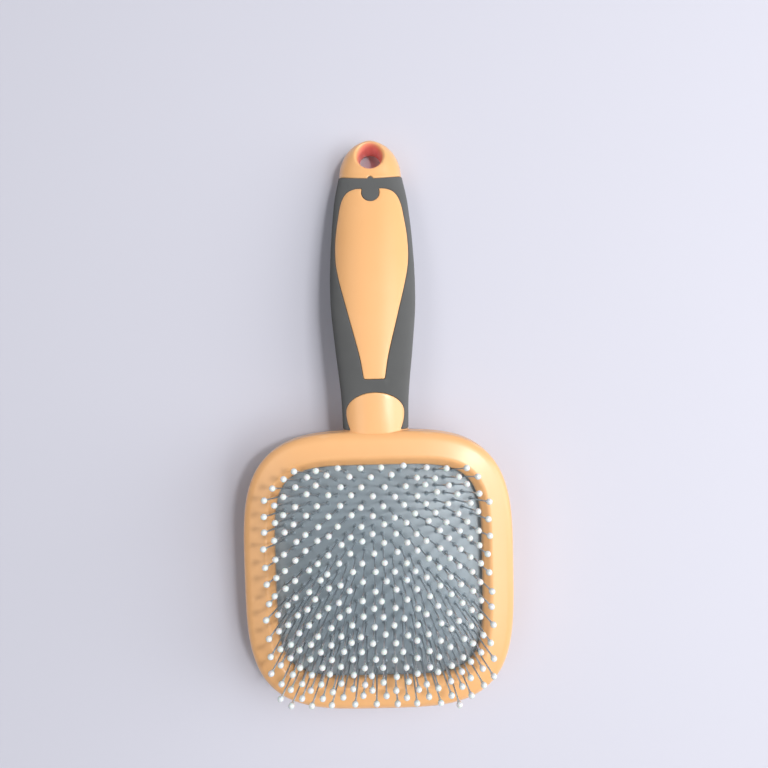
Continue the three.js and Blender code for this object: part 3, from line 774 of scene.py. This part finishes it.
def inside(points, loop):
    """Which points lie inside a closed loop."""
    x, y = points[:, 0][:, None], points[:, 1][:, None]
    x0, y0 = loop[:, 0][None], loop[:, 1][None]
    x1, y1 = np.roll(x0, -1, axis=1), np.roll(y0, -1, axis=1)
    crosses = (y0 > y) != (y1 > y)
    rise = np.where(y1 == y0, 1, y1 - y0)
    return (crosses & (x < x0 + (y - y0) * (x1 - x0) / rise)).sum(axis=1) % 2 == 1


def within(points, loops):
    """Which points lie inside the first loop and outside the others."""
    kept = inside(points, loops[0])
    for loop in loops[1:]:
        kept &= ~inside(points, loop)
    return kept


def filled(loops, step):
    """Points and triangles over the region inside the first loop and outside the others."""
    rim = np.concatenate(loops)
    edges = []
    start = 0
    for loop in loops:
        edges += [(start + at, start + (at + 1) % len(loop)) for at in range(len(loop))]
        start += len(loop)
    low, high = rim.min(axis=0), rim.max(axis=0)
    spans = np.ceil((high - low) / step).astype(int)
    grid = np.stack(np.meshgrid(*[
        np.linspace(low[axis], high[axis], spans[axis] + 1) for axis in (0, 1)
    ]), axis=-1).reshape(-1, 2)
    grid = grid[within(grid, loops)]
    gap = np.array([np.hypot(*(rim - place).T).min() for place in grid])
    points = np.concatenate([rim, grid[gap > BORDER_GAP_SHARE * step]])
    places = [Vector(place) for place in points]
    made, _, faces, sources, *_ = delaunay_2d_cdt(places, edges, [], 0, SAME_PLACE)
    if len(made) != len(points):
        raise ValueError("a border of a sheet crosses itself")
    number = np.array([source[0] for source in sources])
    triangles = number[np.array(faces)]
    middles = points[triangles].mean(axis=1)
    return points, triangles[within(middles, loops)]


def rolled(line, inner):
    """Rings from the inner line of a sheet, over its rounded edge, and down its side."""
    top, rim, way = skin(inner), skin(line), outwards(line)
    rings = []
    for step in range(1, EDGE_STEPS + 1):
        turn = math.pi / 2 * step / EDGE_STEPS
        rings.append(top + (rim - top) * math.sin(turn) - way * SEAM_EDGE * (1 - math.cos(turn)))
    rings.append(rim - way * SHELL)
    return rings


def seam_points(turn, start, end):
    """Places up a line along the handle, between its two ends."""
    reach = np.linspace(start, end, max(int(abs(end - start) / SKIN_STEP), 2) + 1)[1:-1]
    return places_at(turn, reach)


def shell(form, loops, borders):
    """A sheet of the handle's skin with a thickness. A border is its first point's number, its outer
    line, and whether it closes on itself."""
    points, triangles = filled(loops, SKIN_STEP)
    outer = skin(points)
    top = form.add(outer)
    under = form.add(outer - outwards(points) * SHELL)
    form.faces += top[triangles].tolist()
    form.faces += under[triangles[:, ::-1]].tolist()
    for first, line, closed in borders:
        numbers = np.arange(first, first + len(line))
        rings = [form.add(ring) for ring in rolled(line, points[numbers])]
        form.strips([top[numbers]] + rings + [under[numbers]], closed)


def sleeve(near, far, window=None):
    """A sheet round a stretch of the handle, cut open along the middle of its back."""
    near_inner = shifted(near, SEAM_EDGE)
    far_inner = shifted(far, SEAM_EDGE)
    right = seam_points(HALF_GIRTH, near_inner[-1, 1], far_inner[0, 1])
    left = right[::-1] * (-1, 1)
    loops = [np.concatenate([near_inner, right, far_inner, left])]
    borders = [(0, near, False), (len(near) + len(right), far, False)]
    if window is not None:
        borders.append((len(loops[0]), window, True))
        loops.append(shifted(window, SEAM_EDGE, True))
    form = Form()
    shell(form, loops, borders)
    return form


def soft_grip(material):
    """The grip's sleeve, with its window for the inlay and its notch for the neck."""
    near = shifted(neck_line(), SEAM / 2)
    far = shifted(end_line()[::-1], SEAM / 2)
    window = shifted(window_line()[::-1], SEAM / 2, True)
    sleeve(near, far, window).piece("soft_grip", material, "grip_rubber", "grip_sleeve")


def grip_inlay(material):
    """The teardrop panel in the grip's window."""
    line = shifted(window_line(), SEAM / 2, True)
    form = Form()
    shell(form, [shifted(line, SEAM_EDGE, True)], [(0, line, True)])
    form.piece("grip_inlay", material, "orange_plastic", "handle_inlay")


def neck_foot():
    """The line where the neck ends inside the head's wall."""
    turn = np.linspace(-HALF_GIRTH, HALF_GIRTH, FOOT_POINTS)
    height = skin(places_at(turn, 0))[:, 2] / PARTING_HEIGHT
    inset_share = np.interp(height, [s[1] for s in TRAY_BACK_SHARES], [s[0] for s in TRAY_BACK_SHARES])
    reach = -BACK_EDGE_INSET * inset_share * RIM_LENGTH / RIM_WIDTH - NECK_OVERLAP
    return eased(places_at(turn, reach))


def neck(material):
    """The neck: the tray's root for the handle, and the boss that shows between the grip's tails."""
    far = shifted(neck_line()[::-1], SEAM / 2)
    sleeve(neck_foot(), far).piece("neck", material, "orange_plastic", "body_shell")


def handle_core(material):
    """The core inside the grip, drawn in from the skin."""
    form = Form()
    turn = np.linspace(-HALF_GIRTH, HALF_GIRTH, CORE_SIDES, endpoint=False)
    rings = []
    for reach in np.linspace(CLEARANCE, GRIP_END, CORE_RINGS):
        rings.append(form.add(skin(places_at(turn, reach), CORE_INSET)))
    form.strips(rings)
    for ring, reach in ((rings[0], CLEARANCE), (rings[-1], GRIP_END)):
        form.fan(ring, (0, HEAD_EDGE + reach, handle_middle(reach)))
    form.piece("handle_core", material, "orange_plastic", "body_shell")


def hole_axis():
    """The middle of the hang hole, and the way that it runs."""
    place = HANDLE_LENGTH - HANG_HOLE_FROM_END
    lean = math.atan(HANDLE_SLOPE)
    middle = np.array([0, HEAD_EDGE + place, handle_middle(place)])
    return middle, np.array([0, math.sin(lean), math.cos(lean)])


HOLE_MIDDLE, HOLE_AXIS = hole_axis()


def hole_oval(flared_share):
    """An oval round the hang hole's middle: its bore at a share of 0, its mouth at a share of 1."""
    turn = np.linspace(0, 2 * math.pi, HOLE_POINTS, endpoint=False)
    across = (HANG_HOLE_WIDTH / 2 + HANG_HOLE_SIDE_FLARE * flared_share) * np.cos(turn)
    along = (HANG_HOLE_LENGTH / 2 + HANG_HOLE_END_FLARE * flared_share) * np.sin(turn)
    return HOLE_MIDDLE + np.outer(across, (1, 0, 0)) + np.outer(along, (0, HOLE_AXIS[2], -HOLE_AXIS[1]))


def hole_ring(side):
    """Heights of the skin round the hang hole's mouth, and its places there. Side is 1 or -1."""
    mouth = hole_oval(1)
    rise = np.zeros(len(mouth))
    for _ in range(HOLE_ROUNDS):
        points = mouth + np.outer(rise, HOLE_AXIS)
        distance = points[:, 1] - HEAD_EDGE
        across, front, back = handle_section(distance)
        half = front if side > 0 else back
        power = 2 / SECTION_POWER_SHARE
        level = np.maximum(1 - np.abs(points[:, 0] / across) ** power, 0) ** (1 / power)
        gap = handle_middle(distance) + side * half * level - points[:, 2]
        rise = rise + gap * HOLE_AXIS[2]
    front_places = on_front(points[:, 0], distance)
    if side < 0:
        front_places[:, 0] = HALF_GIRTH - front_places[:, 0]
    return rise, front_places


def flare_rings(rise, side):
    """Rings from the skin, over the hole's rounded mouth, down to its straight bore."""
    bore = side * (np.abs(rise).min() - HANG_HOLE_FLARE_DEPTH)
    rings = []
    for step in range(1, FLARE_STEPS + 1):
        turn = math.pi / 2 * step / FLARE_STEPS
        height = rise - (rise - bore) * (1 - math.cos(turn))
        rings.append(hole_oval(1 - math.sin(turn)) + np.outer(height, HOLE_AXIS))
    return rings


def drawn_in(points):
    """Points of the bare end, with its sides a small step in from the grip's."""
    mouth = HANG_HOLE_WIDTH / 2 + HANG_HOLE_SIDE_FLARE
    out = np.clip((np.abs(points[:, 0]) - mouth) / (END_WIDTH / 2 - mouth), 0, 1)
    drawn = points.astype(float)
    drawn[:, 0] -= np.sign(points[:, 0]) * END_STEP * out ** 2 * (3 - 2 * out)
    return drawn


def half_way_round(line, inner, start):
    """The stretches of two lines, point beside point, over half of the way round the handle."""
    end = start + HALF_GIRTH
    doubled = [np.concatenate([each[:-1], each + (2 * HALF_GIRTH, 0)]) for each in (line, inner)]
    here = (doubled[0][:, 0] > start) & (doubled[0][:, 0] < end)
    stretches = []
    for each in doubled:
        first, last = np.interp((start, end), each[:, 0], each[:, 1])
        stretches.append(np.concatenate([[(start, first)], each[here], [(end, last)]]))
    return stretches


def end_half(form, side, line, inner):
    """Adds the bare end's front, where side is 1, or its back, where it is -1. Gives back the numbers of
    its foot inside the grip and of its half of the bore."""
    start = -side * HALF_GIRTH / 2
    end = start + HALF_GIRTH
    outer_line, inner_line = half_way_round(line, inner, start)
    up = seam_points(end, inner_line[-1, 1], LAST_REACH)
    tip = places_at(np.linspace(end, start, TIP_POINTS), LAST_REACH)
    down = up[::-1] - (HALF_GIRTH, 0)
    rise, hole = hole_ring(side)
    loop = np.concatenate([inner_line, up, tip, down])
    points, triangles = filled([loop, hole], END_SKIN_STEP)
    numbers = form.add(skin(points))
    form.faces += numbers[triangles].tolist()
    edge = [form.add(ring) for ring in rolled(outer_line, inner_line)]
    form.strips([numbers[:len(inner_line)]] + edge, closed=False)
    flare = [form.add(ring) for ring in flare_rings(rise, side)]
    form.strips([numbers[len(loop):len(loop) + len(hole)]] + flare)
    return edge[-1], flare[-1]


def handle_end(material):
    """The handle's bare end: a rounded, thinning tip with the flared hang hole through it."""
    line = shifted(end_line(), SEAM / 2)
    inner = shifted(line, SEAM_EDGE)
    form = Form()
    front_foot, front_bore = end_half(form, 1, line, inner)
    back_foot, back_bore = end_half(form, -1, line, inner)
    form.strip(front_bore, back_bore)
    foot = np.concatenate([front_foot[:-1], back_foot[:-1]])
    form.fan(foot, (0, HEAD_EDGE + GRIP_END, handle_middle(GRIP_END)))
    form.blocks = [drawn_in(block) for block in form.blocks]
    form.piece("handle_end", material, "orange_plastic", "body_shell")


# Materials

def node(tree, kind, settings=None, **links):
    """Adds a node with its settings. A link goes to a socket by its name, or by its number after in_."""
    made = tree.nodes.new(f"ShaderNode{kind}")
    for name, value in (settings or {}).items():
        setattr(made, name, value)
    for name, value in links.items():
        entry = made.inputs[int(name[3:]) if name.startswith("in_") else name.replace("_", " ")]
        if isinstance(value, bpy.types.NodeSocket):
            tree.links.new(value, entry)
        else:
            entry.default_value = value
    return made


def sums(tree, way, *values):
    """A sum of numbers, by its name in Blender."""
    links = {f"in_{at}": value for at, value in enumerate(values)}
    return node(tree, "Math", {"operation": way}, **links).outputs[0]


def place_sums(tree, way, first, second, output=0):
    """A sum of two places, by its name in Blender."""
    return node(tree, "VectorMath", {"operation": way}, in_0=first, in_1=second).outputs[output]


def blend(tree, share, first, second):
    """A mix of two colours."""
    return node(tree, "Mix", {"data_type": "RGBA"}, in_0=share, in_6=first, in_7=second).outputs[2]


def new_group(name, output, kind, **inputs):
    """A node group with its inputs' starting values and one output. Gives back the sockets inside it."""
    tree = bpy.data.node_groups.new(name, "ShaderNodeTree")
    for title, value in inputs.items():
        entry = "NodeSocketColor" if isinstance(value, tuple) else "NodeSocketFloat"
        made = tree.interface.new_socket(title, in_out="INPUT", socket_type=entry)
        made.default_value = value
    tree.interface.new_socket(output, in_out="OUTPUT", socket_type=kind)
    return tree, tree.nodes.new("NodeGroupInput").outputs, tree.nodes.new("NodeGroupOutput").inputs[0]


def millimetres(tree):
    """Places on the brush, in millimetres."""
    place = node(tree, "TexCoord").outputs["Object"]
    return node(tree, "VectorMath", {"operation": "SCALE"}, in_0=place, Scale=PER_METRE).outputs[0]


def spots(tree, size, detail, roughness=0.5):
    """Soft noise with spots of about a size."""
    scale = sums(tree, "DIVIDE", 1, size)
    made = node(
        tree, "TexNoise", Vector=millimetres(tree), Scale=scale, Detail=detail, Roughness=roughness,
    )
    return made.outputs[0]


def moulded_grain():
    """The fine texture of a moulding's surface: how high it stands, for a grain's size."""
    tree, given, put = new_group("moulded grain", "Height", "NodeSocketFloat", Size=0.2)
    fine = spots(tree, given["Size"], detail=3, roughness=0.6)
    waves = spots(tree, sums(tree, "MULTIPLY", given["Size"], GRAIN_WAVE), detail=1)
    tree.links.new(sums(tree, "MULTIPLY_ADD", waves, GRAIN_WAVE_SHARE, fine), put)
    return tree


def handled_sheen():
    """Roughness that wanders a little, as on a moulding that has been handled and wiped."""
    values = {"Roughness": 0.4, "Amount": 0.1, "Size": 12}
    tree, given, put = new_group("handled sheen", "Roughness", "NodeSocketFloat", **values)
    patches = spots(tree, given["Size"], detail=4, roughness=0.65)
    place = millimetres(tree)
    streaks = node(tree, "TexNoise", Vector=place, Scale=0.9, Detail=1, Distortion=2.5).outputs[0]
    both = sums(tree, "MULTIPLY_ADD", streaks, STREAK_SHARE, patches)
    wander = sums(tree, "MULTIPLY_ADD", both, 2, -1 - STREAK_SHARE)
    tree.links.new(sums(tree, "MULTIPLY_ADD", wander, given["Amount"], given["Roughness"]), put)
    return tree


def colour_drift():
    """A colour that drifts slightly over the surface and lightens where an edge is worn or thin."""
    values = {"Colour": (0.8, 0.8, 0.8, 1), "Edge Colour": WHITE, "Drift": 0.05, "Edge": 0.2}
    tree, given, put = new_group("colour drift", "Colour", "NodeSocketColor", **values)
    patches = spots(tree, size=9, detail=3)
    darker = blend(tree, given["Drift"], given["Colour"], BLACK)
    lighter = blend(tree, given["Drift"], given["Colour"], WHITE)
    drifted = blend(tree, patches, darker, lighter)
    bend = node(tree, "NewGeometry").outputs["Pointiness"]
    edge = node(tree, "MapRange", Value=bend, From_Min=0.51, From_Max=0.6).outputs[0]
    share = sums(tree, "MULTIPLY", edge, given["Edge"])
    tree.links.new(blend(tree, share, drifted, given["Edge Colour"]), put)
    return tree


def painted_hole_shade():
    """The mask of the painted shade in the hang hole: how far a place is inside its bore, 1 on its wall,
    0 outside its mouths.
    """
    tree, _, put = new_group("inside the hang hole", "Share", "NodeSocketFloat")
    middle, along = lay_down(np.stack([HOLE_MIDDLE, HOLE_MIDDLE + HOLE_AXIS])) * PER_METRE
    offset = place_sums(tree, "SUBTRACT", millimetres(tree), middle)
    across = place_sums(tree, "CROSS_PRODUCT", offset, along - middle)
    rounded = place_sums(tree, "MULTIPLY", across, (HANG_HOLE_WIDTH / HANG_HOLE_LENGTH, 1, 1))
    distance = place_sums(tree, "DISTANCE", rounded, (0, 0, 0), output=1)
    bore = HANG_HOLE_WIDTH / 2
    mouth = bore + HANG_HOLE_SIDE_FLARE * HOLE_PAINTED_SHADE_SHARE
    share = node(tree, "MapRange", Value=distance, From_Min=mouth, From_Max=bore)
    tree.links.new(share.outputs[0], put)
    return tree


def set_values(made, values):
    """Sets a node's own inputs by their names."""
    for name, value in values.items():
        made.inputs[name.replace("_", " ")].default_value = value


def shader_of(material):
    """The shader of a material."""
    return material.node_tree.nodes["Principled BSDF"]


def plain_material(name, **values):
    """A new material with its shader's plain values set."""
    made = bpy.data.materials.new(name)
    made.use_nodes = True
    set_values(shader_of(made), values)
    return made


def grouped(tree, group, **values):
    """What a group puts out in a material, with its inputs set."""
    made = tree.nodes.new("ShaderNodeGroup")
    made.node_tree = group
    set_values(made, values)
    return made.outputs[0]


def relief(material, height, depth):
    """Adds a relief to a material's surface, over the one that it has."""
    tree = material.node_tree
    bump = node(tree, "Bump", Height=height, Strength=1, Distance=depth / PER_METRE)
    normal = shader_of(material).inputs["Normal"]
    if normal.is_linked:
        tree.links.new(normal.links[0].from_socket, bump.inputs["Normal"])
    tree.links.new(bump.outputs["Normal"], normal)


def finish(material, groups, colour, edge_colour, drift, edge, sheen, grain, depth):
    """Gives a material its drifting colour, wandering roughness and fine grain."""
    tree, shader = material.node_tree, shader_of(material)
    tint = grouped(tree, groups["drift"], Colour=colour, Edge_Colour=edge_colour, Drift=drift, Edge=edge)
    tree.links.new(tint, shader.inputs["Base Color"])
    level = shader.inputs["Roughness"]
    gloss = grouped(tree, groups["sheen"], Roughness=level.default_value, Amount=sheen)
    tree.links.new(gloss, level)
    relief(material, grouped(tree, groups["grain"], Size=grain), depth)
    return tint


def orange_plastic(name, groups, roughness, coat):
    """Moulded ABS in a light orange, with painted shade inside the hang hole: its wall is painted a
    deeper red for its shade and the light bounced inside it.
    """
    made = plain_material(name, Roughness=roughness, Coat_Weight=coat, Coat_Roughness=0.3)
    tint = finish(
        made, groups, colour=(0.96, 0.51, 0.21, 1), edge_colour=(1, 0.66, 0.4, 1),
        drift=0.02, edge=0.25, sheen=0.05, grain=0.35, depth=0.012,
    )
    tree = made.node_tree
    # Painted shade: the hang hole's wall is painted a deeper red for its shade and bounced light.
    hole_shaded = blend(tree, grouped(tree, groups["hole"]), tint, HOLE_PAINTED_SHADE)
    tree.links.new(hole_shaded, shader_of(made).inputs["Base Color"])
    return made


def grip_rubber(groups):
    """Soft thermoplastic rubber, mid grey and matt."""
    made = plain_material("grip_rubber", Roughness=0.85, Specular_IOR_Level=0.12, Diffuse_Roughness=1)
    finish(
        made, groups, colour=(0.137, 0.14, 0.14, 1), edge_colour=(0.2, 0.2, 0.2, 1),
        drift=0.03, edge=0.2, sheen=0.08, grain=0.16, depth=0.03,
    )
    return made


def pad_rubber(groups):
    """The pad's thin rubber skin, blue-grey."""
    made = plain_material(
        "pad_rubber", Roughness=0.42, Coat_Weight=0.4, Coat_Roughness=0.4, Specular_IOR_Level=0.9,
    )
    finish(
        made, groups, colour=(0.275, 0.345, 0.395, 1), edge_colour=(0.45, 0.52, 0.57, 1),
        drift=0.05, edge=0.3, sheen=0.1, grain=0.22, depth=0.03,
    )
    return made


def pin_steel(groups):
    """Drawn steel wire, plated bright."""
    made = plain_material("pin_steel", Roughness=0.3, Metallic=1)
    finish(
        made, groups, colour=(0.66, 0.67, 0.69, 1), edge_colour=(0.78, 0.79, 0.81, 1),
        drift=0.03, edge=0.2, sheen=0.06, grain=0.1, depth=0.002,
    )
    return made


def tip_resin(groups):
    """White, slightly clear epoxy beads."""
    cloud = BEAD_CLOUD / PER_METRE
    made = plain_material(
        "tip_resin", Roughness=0.22, Coat_Weight=0.5, Subsurface_Weight=0.2, Subsurface_Scale=cloud,
    )
    finish(
        made, groups, colour=(0.79, 0.84, 0.84, 1), edge_colour=(0.88, 0.91, 0.91, 1),
        drift=0.02, edge=0.1, sheen=0.04, grain=0.3, depth=0.003,
    )
    return made


def backing_cloth(groups):
    """Plain woven cotton: two sets of threads across each other."""
    made = plain_material("backing_cloth", Roughness=0.92, Specular_IOR_Level=0.2)
    finish(
        made, groups, colour=(0.58, 0.56, 0.49, 1), edge_colour=(0.7, 0.68, 0.62, 1),
        drift=0.08, edge=0.2, sheen=0.05, grain=0.12, depth=0.03,
    )
    tree = made.node_tree
    threads = []
    for way in ("X", "Y"):
        place = millimetres(tree)
        wave = node(tree, "TexWave", {"bands_direction": way}, Vector=place, Scale=1.2, Distortion=0.6)
        threads.append(wave.outputs["Fac"])
    relief(made, sums(tree, "MAXIMUM", *threads), THREAD_DEPTH)
    return made


def cushion_foam(groups):
    """Open-cell foam, off-white."""
    made = plain_material("cushion_foam", Roughness=0.95, Specular_IOR_Level=0.2)
    finish(
        made, groups, colour=(0.73, 0.71, 0.64, 1), edge_colour=(0.8, 0.79, 0.72, 1),
        drift=0.08, edge=0.2, sheen=0.03, grain=0.3, depth=0.05,
    )
    tree = made.node_tree
    cells = node(tree, "TexVoronoi", Vector=millimetres(tree), Scale=1.4).outputs["Distance"]
    relief(made, cells, FOAM_CELL_DEPTH)
    return made


# Stage, camera and light

def stage():
    """A plain pale floor."""
    mesh = bpy.data.meshes.new("floor")
    half = FLOOR_SIZE / 2
    corners = [(-half, -half, 0), (half, -half, 0), (half, half, 0), (-half, half, 0)]
    mesh.from_pydata(corners, [], [(0, 1, 2, 3)])
    made = plain_material("pale_floor", Roughness=0.9, Specular_IOR_Level=0.1, Base_Color=FLOOR_COLOUR)
    mesh.materials.append(made)
    floor = placed("floor", mesh)


def camera():
    """Straight above the brush, as in the photograph, with the handle's end leaning a little left."""
    lens = bpy.data.cameras.new("camera")
    lens.sensor_width = CAMERA_SENSOR
    lens.lens = CAMERA_LENS
    lens.clip_start = CAMERA_NEAR
    view = placed("camera", lens)
    view.location = CAMERA_PLACE
    view.rotation_euler = (math.radians(CAMERA_PITCH), 0, -math.radians(CAMERA_LEAN))
    bpy.context.scene.camera = view


def lamp(name, azimuth, height, reach, width, length, power):
    """A soft light that faces the brush, from an azimuth and a height in degrees."""
    data = bpy.data.lights.new(name, "AREA")
    data.shape = "RECTANGLE"
    data.size = width
    data.size_y = length
    data.energy = power
    made = placed(name, data)
    turn, rise = math.radians(azimuth), math.radians(height)
    way = Vector((math.cos(rise) * math.cos(turn), math.cos(rise) * math.sin(turn), math.sin(rise)))
    made.location = way * reach
    across = Vector((0, 1, 0)).cross(way).normalized()
    made.rotation_euler = Matrix((across, way.cross(across), way)).transposed().to_euler()


def light():
    """A soft room, a small key light high up, a strip and a window on the right, and a weak fill."""
    world = bpy.data.worlds.new("studio")
    bpy.context.scene.world = world
    world.use_nodes = True
    set_values(world.node_tree.nodes["Background"], {"Color": ROOM_COLOUR, "Strength": ROOM_LIGHT})
    lamp("key", azimuth=12, height=70, reach=1.1, width=0.1, length=0.1, power=KEY_POWER)
    lamp("strip", azimuth=0, height=61.5, reach=0.9, width=0.2, length=1.1, power=STRIP_POWER)
    lamp("window", azimuth=0, height=31, reach=0.9, width=0.7, length=0.6, power=WINDOW_POWER)
    lamp("fill", azimuth=180, height=62, reach=0.9, width=0.3, length=1, power=FILL_POWER)


def dress():
    """Makes all pieces in their finishes."""
    groups = {
        "grain": moulded_grain(),
        "sheen": handled_sheen(),
        "drift": colour_drift(),
        # The hole group masks the painted shade on the hang hole's wall.
        "hole": painted_hole_shade(),
    }
    orange = orange_plastic("orange_plastic", groups, roughness=0.34, coat=0.55)
    satin = orange_plastic("orange_satin", groups, roughness=0.42, coat=0)
    tray(orange)
    rim_frame(orange)
    neck(orange)
    handle_core(orange)
    handle_end(orange)
    grip_inlay(satin)
    soft_grip(grip_rubber(groups))
    roots = pin_roots()
    rubber_pad(pad_rubber(groups), roots)
    pin_wires(pin_steel(groups), roots)
    pin_tips(tip_resin(groups), roots)
    pad_backing(backing_cloth(groups))
    foam_core(cushion_foam(groups))


bpy.context.scene.view_settings.view_transform = "Standard"
camera()
stage()
light()
dress()

bpy.context.view_layer.update()
